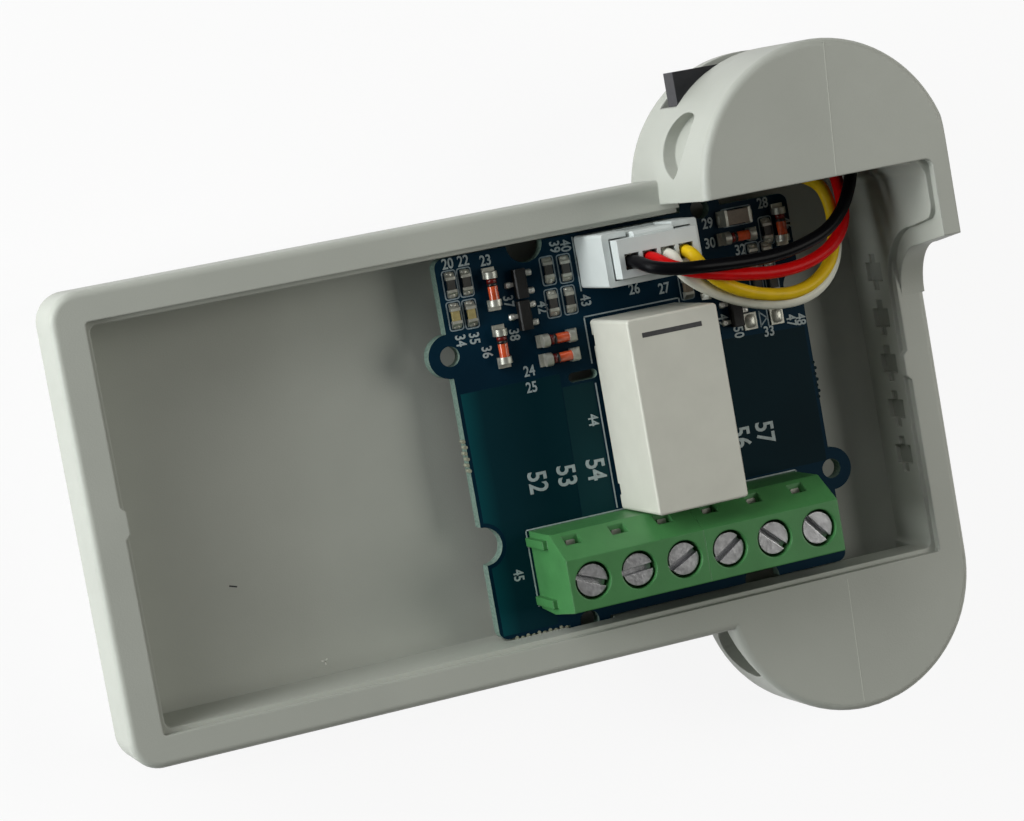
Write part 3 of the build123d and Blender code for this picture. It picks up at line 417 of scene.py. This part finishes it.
def add_bar(mesh, start, end, width=LINE, foot=0.0, height=PRINT_H):
    """A low bar between two points of the board's plane."""
    a, b = Vector(start), Vector(end)
    along = (b - a).normalized() * width / 2
    across = Vector((-along.y, along.x))
    raise_outline(mesh, [a - along - across, b + along - across, b + along + across, a - along + across],
                  foot, height)


def add_bars(mesh, ends):
    for start, end in ends:
        add_bar(mesh, start, end)


def arc(centre, radius, start, end, steps):
    """Points on an arc, angles in degrees."""
    angles = [math.radians(start + (end - start) * i / steps) for i in range(steps + 1)]
    return [(centre[0] + radius * math.cos(t), centre[1] + radius * math.sin(t)) for t in angles]


def rounded(u, v, length, width, radius):
    """The outline of a rectangle with round corners."""
    points = []
    for i, (sx, sy) in enumerate(((1, 1), (-1, 1), (-1, -1), (1, -1))):
        centre = (u + sx * (length / 2 - radius), v + sy * (width / 2 - radius))
        points += arc(centre, radius, 90 * i, 90 * i + 90, CORNER_STEPS)
    return points


def add_frame(mesh, u, v, length, width):
    """A printed frame with round corners."""
    outer = rounded(u, v, length, width, FRAME_CORNER)
    inner = rounded(u, v, length - 2 * FINE_LINE, width - 2 * FINE_LINE, FRAME_CORNER - FINE_LINE)
    rings = [[mesh.verts.new(at(x, y, z)) for x, y in ring]
             for ring, z in ((outer, 0.0), (outer, PRINT_H), (inner, PRINT_H), (inner, 0.0))]
    for a, b in zip(rings, rings[1:]):
        for i in range(len(a)):
            j = (i + 1) % len(a)
            mesh.faces.new((a[i], a[j], b[j], b[i]))


def piece(name, mesh, material):
    """The finished piece, fixed to the module."""
    data = bpy.data.meshes.new(name)
    mesh.to_mesh(data)
    mesh.free()
    obj = bpy.data.objects.new(name, data)
    bpy.context.scene.collection.objects.link(obj)
    dress(obj, material)
    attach(obj, "module")
    return obj


# Places on the board
CHIPS = [(-18.6, 17.2), (-16.95, 17.2), (-7.9, 16.7), (-6.0, 16.6), (-8.0, 13.3), (-6.1, 13.3),
         (17.1, 16.4), (15.1, 14.0), (16.7, 13.9), (15.0, 11.0), (16.8, 10.8), (-18.7, 14.0),
         (-17.0, 13.9), (7.0, 12.4)]
CHIP_FRAME_L, CHIP_FRAME_W = 3.1, 1.6
BIG_FRAME = (14.0, 18.5, 3.6, 2.0)
# Between the two bare pads: two upright bars and an arrow, by their distances from the middle
PADS_MIDDLE = (15.15, 7.3)
PAD_BAR_OUT, PAD_BAR_HALF = 0.45, 0.8
ARROW_FOOT, ARROW_TIP, ARROW_HALF = -0.4, 0.35, 0.7


def make_frames():
    """The outlines printed round the small parts."""
    mesh = bmesh.new()
    for u, v in CHIPS:
        add_frame(mesh, u, v, CHIP_FRAME_W, CHIP_FRAME_L)
    add_frame(mesh, *BIG_FRAME)
    u, v = PADS_MIDDLE
    for side in (-PAD_BAR_OUT, PAD_BAR_OUT):
        add_bar(mesh, (u + side, v - PAD_BAR_HALF), (u + side, v + PAD_BAR_HALF))
    for end in (-ARROW_HALF, ARROW_HALF):
        add_bar(mesh, (u + ARROW_FOOT, v + end), (u + ARROW_TIP, v))
    piece("board_frames", mesh, "silk_faint")


# Left, right, top and bottom of the long printed lines, and the gap in the relay's left one
RELAY_FRAME, RELAY_GAP = (-4.85, 5.95, 11.25, -9.0), (6.4, 4.2)
TERMINAL_FRAME = (-15.25, 15.85, -9.3, -17.3)
HEADER_SIDE = ((-4.65, 19.6), (-4.65, 14.0))


def make_outlines():
    """The longer lines printed round the relay, the terminals and the header."""
    mesh = bmesh.new()
    left, right, top, bottom = RELAY_FRAME
    add_bars(mesh, (((left, top), (right, top)), ((left, top), (left, RELAY_GAP[0])),
                    ((left, RELAY_GAP[1]), (left, bottom)), ((right, top), (right, bottom))))
    left, right, top, bottom = TERMINAL_FRAME
    add_bars(mesh, (((left, top), (right, top)), ((left, top), (left, bottom)),
                    ((right, top), (right, bottom))))
    add_bar(mesh, *HEADER_SIDE)
    piece("board_outlines", mesh, "silk_print")


SMALL_SIZE, LARGE_SIZE, STROKE_EXTRA, NARROWING, LETTER_STEPS = 1.55, 2.9, 0.018, 0.82, 3
LEVEL_NUMBERS = [(-18.5, 19.35), (-16.8, 19.35), (-14.4, 18.95), (-11.8, 6.85), (-11.85, 5.15),
                 (1.2, 13.05), (4.5, 12.5), (17.2, 19.3), (10.6, 18.3), (10.5, 16.2), (13.8, 14.9),
                 (15.5, 5.8)]
TURNED_NUMBERS = [(-18.6, 11.4), (-17.1, 11.35), (-16.0, 9.7), (-12.75, 14.4), (-12.75, 10.9),
                  (-6.75, 19.0), (-5.55, 18.9), (-9.2, 13.1), (-4.4, 12.9), (-5.85, 0.5), (-16.9, -13.7),
                  (19.55, 16.7), (18.2, 6.5), (19.3, 6.4), (10.5, 8.0), (12.0, 6.4)]
POLE_NUMBER_V = -4.6
POLE_NUMBERS = {"52": -13.1, "53": -9.85, "54": -6.55, "56": 10.2, "57": 13.0}
PART_NUMBERS = [str(n) for n in range(20, 60) if "1" not in str(n)]


def add_text(mesh, text, place, size, turned):
    """A plain number as a thin raised form; a turned one reads toward the terminals."""
    data = bpy.data.curves.new("number", "FONT")
    data.body = text
    data.size = size * MM
    data.extrude = PRINT_H * MM / 2
    data.offset = STROKE_EXTRA * size * MM
    data.resolution_u = LETTER_STEPS
    data.align_x, data.align_y = "CENTER", "CENTER"
    obj = bpy.data.objects.new("number", data)
    bpy.context.scene.collection.objects.link(obj)
    graph = bpy.context.evaluated_depsgraph_get()
    flat = bpy.data.meshes.new_from_object(obj.evaluated_get(graph))
    flat.transform(Matrix.Translation(at(*place, PRINT_H / 2))
                   @ Matrix.Rotation(-math.pi / 2 if turned else 0.0, 4, "Z")
                   @ Matrix.Diagonal((NARROWING, 1.0, 1.0, 1.0)))
    mesh.from_mesh(flat)
    bpy.data.objects.remove(obj)


def make_numbers():
    """Plain numbers for the parts and the terminals' poles."""
    mesh = bmesh.new()
    for text, place in zip(PART_NUMBERS, LEVEL_NUMBERS + TURNED_NUMBERS):
        add_text(mesh, text, place, SMALL_SIZE, place in TURNED_NUMBERS)
    for text, u in POLE_NUMBERS.items():
        add_text(mesh, text, (u, POLE_NUMBER_V), LARGE_SIZE, True)
    piece("board_numbers", mesh, "silk_print")


# The copper areas: the left one has the notch in its edge and a step at its foot, the strip lies beside it
BOARD_EDGE = 19.6
NOTCH_V, POUR_NOTCH_R, NOTCH_STEPS = -10.0, 2.45, 12
POUR_TOP, POUR_FOOT, POUR_STEP = 5.95, -16.5, -13.5
STRIP_TOP, STRIP_LEFT, STRIP_RIGHT, STRIP_SLANT, STRIP_GAP = 4.5, -8.6, -5.1, 0.4, 0.05
POUR_RIGHT = [(6.3, -9.0), (BOARD_EDGE, -9.0), (BOARD_EDGE, 5.6), (6.3, 6.1)]


def make_pours():
    """The copper areas that show through the solder mask."""
    notch_side = math.degrees(math.asin(math.sqrt(POUR_NOTCH_R ** 2 - (BOARD_HALF - BOARD_EDGE) ** 2)
                                        / POUR_NOTCH_R))
    notch = arc((-BOARD_HALF, NOTCH_V), POUR_NOTCH_R, -notch_side, notch_side, NOTCH_STEPS)
    left = [(-BOARD_EDGE, POUR_TOP), *notch[::-1], (-BOARD_EDGE, -BOARD_EDGE), (POUR_STEP, -BOARD_EDGE),
            (POUR_STEP, POUR_FOOT), (STRIP_LEFT - STRIP_SLANT, POUR_FOOT), (STRIP_LEFT, POUR_TOP)]
    strip = [(STRIP_LEFT - STRIP_SLANT + STRIP_GAP, POUR_FOOT), (STRIP_RIGHT, POUR_FOOT),
             (STRIP_RIGHT, STRIP_TOP), (STRIP_LEFT + STRIP_GAP, STRIP_TOP)]
    for name, points in (("pour_left", left[::-1]), ("pour_strip", strip), ("pour_right", POUR_RIGHT)):
        mesh = bmesh.new()
        raise_outline(mesh, points, 0.0, POUR_H)
        bmesh.ops.recalc_face_normals(mesh, faces=mesh.faces)
        piece("copper_" + name, mesh, name)


# The stubs: each row's first place, its direction, its count and its material
STUB_ROWS = [((-20.1, 1.1), (0, -1), 6, "cut_laminate"), ((-18.2, -20.1), (1, 0), 10, "cut_laminate"),
             ((20.0, 1.6), (0, -1), 7, "pour_right")]
STUB_PITCH, STUB_SIZE, STUB_WOBBLE, STUB_DROP, STUB_SIDES = 0.62, 0.2, 0.07, 0.9, 8


def make_stubs():
    """The rough rows left on the board's edges where it was broken out of its panel."""
    for row, ((u, v), (along_u, along_v), count, material) in enumerate(STUB_ROWS):
        mesh = bmesh.new()
        for i in range(count):
            wobble = STUB_WOBBLE * (-1) ** i
            centre = (u + along_u * STUB_PITCH * i + along_v * wobble,
                      v + along_v * STUB_PITCH * i + along_u * wobble)
            outline = arc(centre, STUB_SIZE, 0, 360 - 360 / STUB_SIDES, STUB_SIDES - 1)
            raise_outline(mesh, outline, -STUB_DROP, STUB_DROP + POUR_H)
        piece("panel_stubs_%d" % (row + 1), mesh, material)


# Soldered ends: how far out they lie, half their length and width, and their height
CHIP_SOLDER = (0.98, 0.42, 0.43, 0.34)
CAP_SOLDER = (1.7, 0.4, 0.75, 0.55)
LEAD_SOLDER = (1.2, 0.42, 0.36, 0.33)
BARE_PADS, PAD_SOLDER = [(13.5, 7.3), (16.6, 7.3)], (0.72, 0.86, 0.36)
FLAT_CHIPS, BIG_CHIPS = [(9.8, 11.0)], [(13.7, 18.5)]
# Transistors: place and the side of the two-lead row, with the leads' distance from the middle
TRANSISTORS, LEAD_STEP = [((-11.3, 16.0), 1), ((-11.4, 12.7), 1), ((11.9, 8.6), -1)], 0.95
SQUARENESS, HEAP_SIDES, HEAP_RISES = 0.6, 16, (0.0, 30.0, 60.0)


def squared(value):
    """A sine or cosine drawn out towards the corners of a square."""
    return math.copysign(abs(value) ** SQUARENESS, value)


def add_dome(mesh, u, v, half_u, half_v, height):
    """A rounded heap of solder on its square pad."""
    sides = HEAP_SIDES
    rings = []
    for rise in HEAP_RISES:
        spread, z = math.cos(math.radians(rise)), height * math.sin(math.radians(rise))
        rings.append([mesh.verts.new(at(u + half_u * spread * squared(math.cos(2 * math.pi * i / sides)),
                                        v + half_v * spread * squared(math.sin(2 * math.pi * i / sides)), z))
                      for i in range(sides)])
    peak = mesh.verts.new(at(u, v, height))
    for low, high in zip(rings, rings[1:]):
        for i in range(sides):
            j = (i + 1) % sides
            mesh.faces.new((low[i], low[j], high[j], high[i]))
    for i in range(sides):
        mesh.faces.new((rings[-1][i], rings[-1][(i + 1) % sides], peak))
    mesh.faces.new(rings[0][::-1])


def heap_piece(name, mesh, material):
    """A piece of solder heaps, smooth but for the flat undersides."""
    heaps = piece(name, mesh, material)
    for face in heaps.data.polygons:
        face.use_smooth = len(face.vertices) < 5


def make_solder_heaps():
    """The solder at both ends of the chips and under the transistors' feet."""
    mesh = bmesh.new()
    reach, along, across, height = CHIP_SOLDER
    for u, v in CHIPS:
        for side in (-1, 1):
            add_dome(mesh, u, v + side * reach, across, along, height)
    for places, (reach, along, across, height) in ((FLAT_CHIPS, CHIP_SOLDER), (BIG_CHIPS, CAP_SOLDER)):
        for u, v in places:
            for side in (-1, 1):
                add_dome(mesh, u + side * reach, v, along, across, height)
    for u, v in BARE_PADS:
        add_dome(mesh, u, v, *PAD_SOLDER)
    heap_piece("solder_heaps", mesh, "solder")
    mesh = bmesh.new()
    reach, along, across, height = LEAD_SOLDER
    for (u, v), way in TRANSISTORS:
        for side, step in ((way, LEAD_STEP), (way, -LEAD_STEP), (-way, 0.0)):
            add_dome(mesh, u + side * reach, v + step, along, across, height)
    heap_piece("lead_heaps", mesh, "lead_tin")


# The windows in the terminals' slope: the first one's place, their pitch and the level of their floor
POLE_COUNT = 6
WINDOW_FIRST, WINDOW_PITCH, WINDOW_FLOOR = (-13.0, -10.5), 5.08, 6.7
CONTACT_L, CONTACT_W, CONTACT_H, CONTACT_R = 1.0, 0.6, 0.15, 0.15


def make_test_contacts():
    """The bright ends of the test contacts, low in the terminals' windows."""
    mesh = bmesh.new()
    u, v = WINDOW_FIRST
    for i in range(POLE_COUNT):
        outline = rounded(u + i * WINDOW_PITCH, v, CONTACT_L, CONTACT_W, CONTACT_R)
        raise_outline(mesh, outline, WINDOW_FLOOR, CONTACT_H)
    piece("test_contacts", mesh, "solder")


# Two flaws in the tray's floor: their places, and the ends of their short strokes from there
FLOOR_Z = -4.4
DARK_SPECK, DARK_ENDS, DARK_WIDTH = (-45.7, -8.9), ((-0.35, 0.1), (0.3, -0.1)), 0.16
PALE_SPECK, PALE_ENDS, PALE_WIDTH = (-37.7, -18.6), ((-0.3, 0.1), (0.25, 0.2), (0.05, -0.3)), 0.13


def moved(place, step):
    return place[0] + step[0], place[1] + step[1]


def make_specks():
    """Two small flaws in the tray's floor."""
    mesh = bmesh.new()
    add_bar(mesh, *(moved(DARK_SPECK, end) for end in DARK_ENDS), DARK_WIDTH, FLOOR_Z)
    piece("dark_speck", mesh, "dark_ink")
    mesh = bmesh.new()
    for end in PALE_ENDS:
        add_bar(mesh, PALE_SPECK, moved(PALE_SPECK, end), PALE_WIDTH, FLOOR_Z)
    piece("pale_speck", mesh, "pale_fleck")


# The cross marks in the right end wall, whose floors get painted shade: for the block and the bars, the
# place of the recess's end face, where it starts and ends along the wall from its middle, and its height
MARK_FORMS = ((29.08, -0.98, 0.98, 3.36), (28.88, -1.93, -1.02, 1.26), (28.88, 1.02, 1.93, 1.26))
MARK_COUNT, MARK_PITCH, MARK_V, MARK_Z = 5, 5.0, -0.2, 0.3
# The thickness of each painted shade sheet
MARK_SHADE_SHEET = 0.02


def make_mark_skins():
    """Painted shade: a thin darker sheet on the floors of the shallow cross marks in the right end wall."""
    mesh = bmesh.new()
    for i in range(MARK_COUNT):
        v = MARK_V + (i - (MARK_COUNT - 1) / 2) * MARK_PITCH
        for u, start, end, high in MARK_FORMS:
            corners = [(u - MARK_SHADE_SHEET, v + start), (u, v + start), (u, v + end), (u - MARK_SHADE_SHEET, v + end)]
            raise_outline(mesh, corners, MARK_Z - high / 2, high)
    piece("wall_mark_painted_shades", mesh, "mark_painted_shade")


RELAY_FACE_Z = 11.0
RELAY_BAR, RELAY_BAR_W, RELAY_BAR_H = ((-2.8, 9.1), (3.3, 9.1)), 0.5, 0.015


def make_relay_bar():
    """The bar printed on the relay's top."""
    mesh = bmesh.new()
    add_bar(mesh, *RELAY_BAR, RELAY_BAR_W, RELAY_FACE_Z, RELAY_BAR_H)
    piece("relay_bar", mesh, "dark_ink")


# Diodes: place and direction of the banded end, and from their middle where the band and shade lie
DIODES = [((-14.4, 16.0), (0, 1)), ((-14.4, 10.0), (0, 1)), ((-8.3, 9.7), (-1, 0)),
          ((-8.3, 7.7), (-1, 0)), ((13.6, 16.4), (-1, 0)), ((18.6, 16.8), (0, 1))]
DIODE_Z, BAND_R, RING_SIDES = 0.75, 0.535, 20
SHADE_R = BAND_R - 0.005
BAND_FROM, BAND_TO, SHADE_TO = 0.30, 0.62, 1.08


def add_ring(mesh, place, way, start, end, radius):
    """A round sleeve on a lying diode, between two distances from its middle."""
    rings = []
    for reach in (start, end):
        ring = []
        for i in range(RING_SIDES):
            turn = 2 * math.pi * i / RING_SIDES
            side, rise = radius * math.cos(turn), radius * math.sin(turn)
            ring.append(mesh.verts.new(at(place[0] + way[0] * reach - way[1] * side,
                                          place[1] + way[1] * reach + way[0] * side, DIODE_Z + rise)))
        rings.append(ring)
    for i in range(RING_SIDES):
        j = (i + 1) % RING_SIDES
        mesh.faces.new((rings[0][i], rings[1][i], rings[1][j], rings[0][j]))
    mesh.faces.new(rings[0])
    mesh.faces.new(rings[1][::-1])


def make_diode_bands():
    """The black band on each glass diode and the darker glass beyond it."""
    for name, start, end, radius in (("diode_band", BAND_FROM, BAND_TO, BAND_R),
                                     ("diode_shade", BAND_TO, SHADE_TO, SHADE_R)):
        mesh = bmesh.new()
        for place, way in DIODES:
            add_ring(mesh, place, way, start, end, radius)
        bmesh.ops.recalc_face_normals(mesh, faces=mesh.faces)
        ring = piece(name + "s", mesh, name)
        for face in ring.data.polygons:
            face.use_smooth = True


# The mould lines: their ends and the height of the lobe's face
MOULD_LINES = (((18.7, 21.6), (19.7, 34.9), 16.0), ((17.5, -34.6), (17.9, -21.4), 4.0))
MOULD_LINE_W, MOULD_LINE_H = 0.1, 0.012


def make_mould_lines():
    """The fine parting line across each lobe's flat face, in a paler tone that is a painted highlight."""
    mesh = bmesh.new()
    for start, end, face_z in MOULD_LINES:
        add_bar(mesh, start, end, MOULD_LINE_W, face_z, MOULD_LINE_H)
    piece("mould_lines", mesh, "mould_line_painted_highlight")


for make in (make_frames, make_outlines, make_numbers, make_pours, make_stubs, make_solder_heaps,
             make_test_contacts, make_specks, make_mark_skins, make_relay_bar, make_diode_bands,
             make_mould_lines):
    make()


# The floor, the light and the world

FLOOR_REACH, FLOOR_DROP = 3.0, 0.0002
FLOOR_TONE, FLOOR_ROUGH, FLOOR_GLOW = 0.9, 0.9, 0.9
WORLD_LIGHT = 0.05
WHITE, COOL, WARM = (1.0, 1.0, 1.0), (0.96, 1.0, 1.0), (1.0, 0.99, 0.93)
# Lamps: place, width and height of the panel in metres, power in watts, tint
LAMPS = {
    "key": ((-0.40, 0.05, 0.085), 0.32, 0.16, 1.2, COOL),
    "near_key": ((-0.25, 0.07, 0.07), 0.16, 0.12, 0.15, COOL),
    "side_back": ((-0.30, 0.30, 0.15), 0.32, 0.26, 0.90, WHITE),
    "back": ((0.0, 0.30, 0.35), 0.3, 0.3, 0.10, WHITE),
    "fill": ((0.35, 0.02, 0.30), 0.25, 0.25, 0.85, WARM),
}


def floor_material():
    """A pale floor that keeps the shadow, and looks nearly white to the camera and in gloss."""
    mat = bpy.data.materials.new("pale_floor")
    mat.use_nodes = True
    tree = mat.node_tree
    shader = tree.nodes["Principled BSDF"]
    shader.inputs["Base Color"].default_value = (FLOOR_TONE, FLOOR_TONE, FLOOR_TONE, 1.0)
    shader.inputs["Roughness"].default_value = FLOOR_ROUGH
    glow = tree.nodes.new("ShaderNodeEmission")
    rays = tree.nodes.new("ShaderNodeLightPath")
    seen = math_node(tree, "MAXIMUM", (rays, "Is Camera Ray"), (rays, "Is Glossy Ray"))
    through = math_node(tree, "MAXIMUM", (seen, "Value"), (rays, "Is Transmission Ray"))
    part = math_node(tree, "MULTIPLY", (through, "Value"), FLOOR_GLOW)
    mix = tree.nodes.new("ShaderNodeMixShader")
    link(tree, part, "Value", mix, "Fac")
    tree.links.new(shader.outputs["BSDF"], mix.inputs[1])
    tree.links.new(glow.outputs["Emission"], mix.inputs[2])
    link(tree, mix, "Shader", tree.nodes["Material Output"], "Surface")
    return mat


def make_floor():
    mesh = bmesh.new()
    mesh.faces.new([mesh.verts.new((x * FLOOR_REACH, y * FLOOR_REACH, -FLOOR_DROP))
                    for x, y in ((-1, -1), (1, -1), (1, 1), (-1, 1))])
    data = bpy.data.meshes.new("floor")
    mesh.to_mesh(data)
    mesh.free()
    floor = bpy.data.objects.new("floor", data)
    bpy.context.scene.collection.objects.link(floor)
    data.materials.append(floor_material())


def make_lamp(name, place, width, height, power, tint):
    """A soft panel aimed at the middle of the part."""
    data = bpy.data.lights.new(name, "AREA")
    data.shape, data.size, data.size_y = "RECTANGLE", width, height
    data.energy, data.color = power, tint
    lamp = bpy.data.objects.new(name, data)
    lamp.location = place
    lamp.visible_camera = False
    lamp.rotation_euler = (-Vector(place)).to_track_quat("-Z", "Y").to_euler()
    bpy.context.scene.collection.objects.link(lamp)


def make_world():
    world = bpy.data.worlds.new("studio")
    bpy.context.scene.world = world
    world.use_nodes = True
    back = world.node_tree.nodes["Background"]
    back.inputs["Color"].default_value = (*WHITE, 1.0)
    back.inputs["Strength"].default_value = WORLD_LIGHT


make_floor()
make_world()
for lamp_name, lamp in LAMPS.items():
    make_lamp(lamp_name, *lamp)

bpy.context.scene.view_settings.view_transform = "Standard"
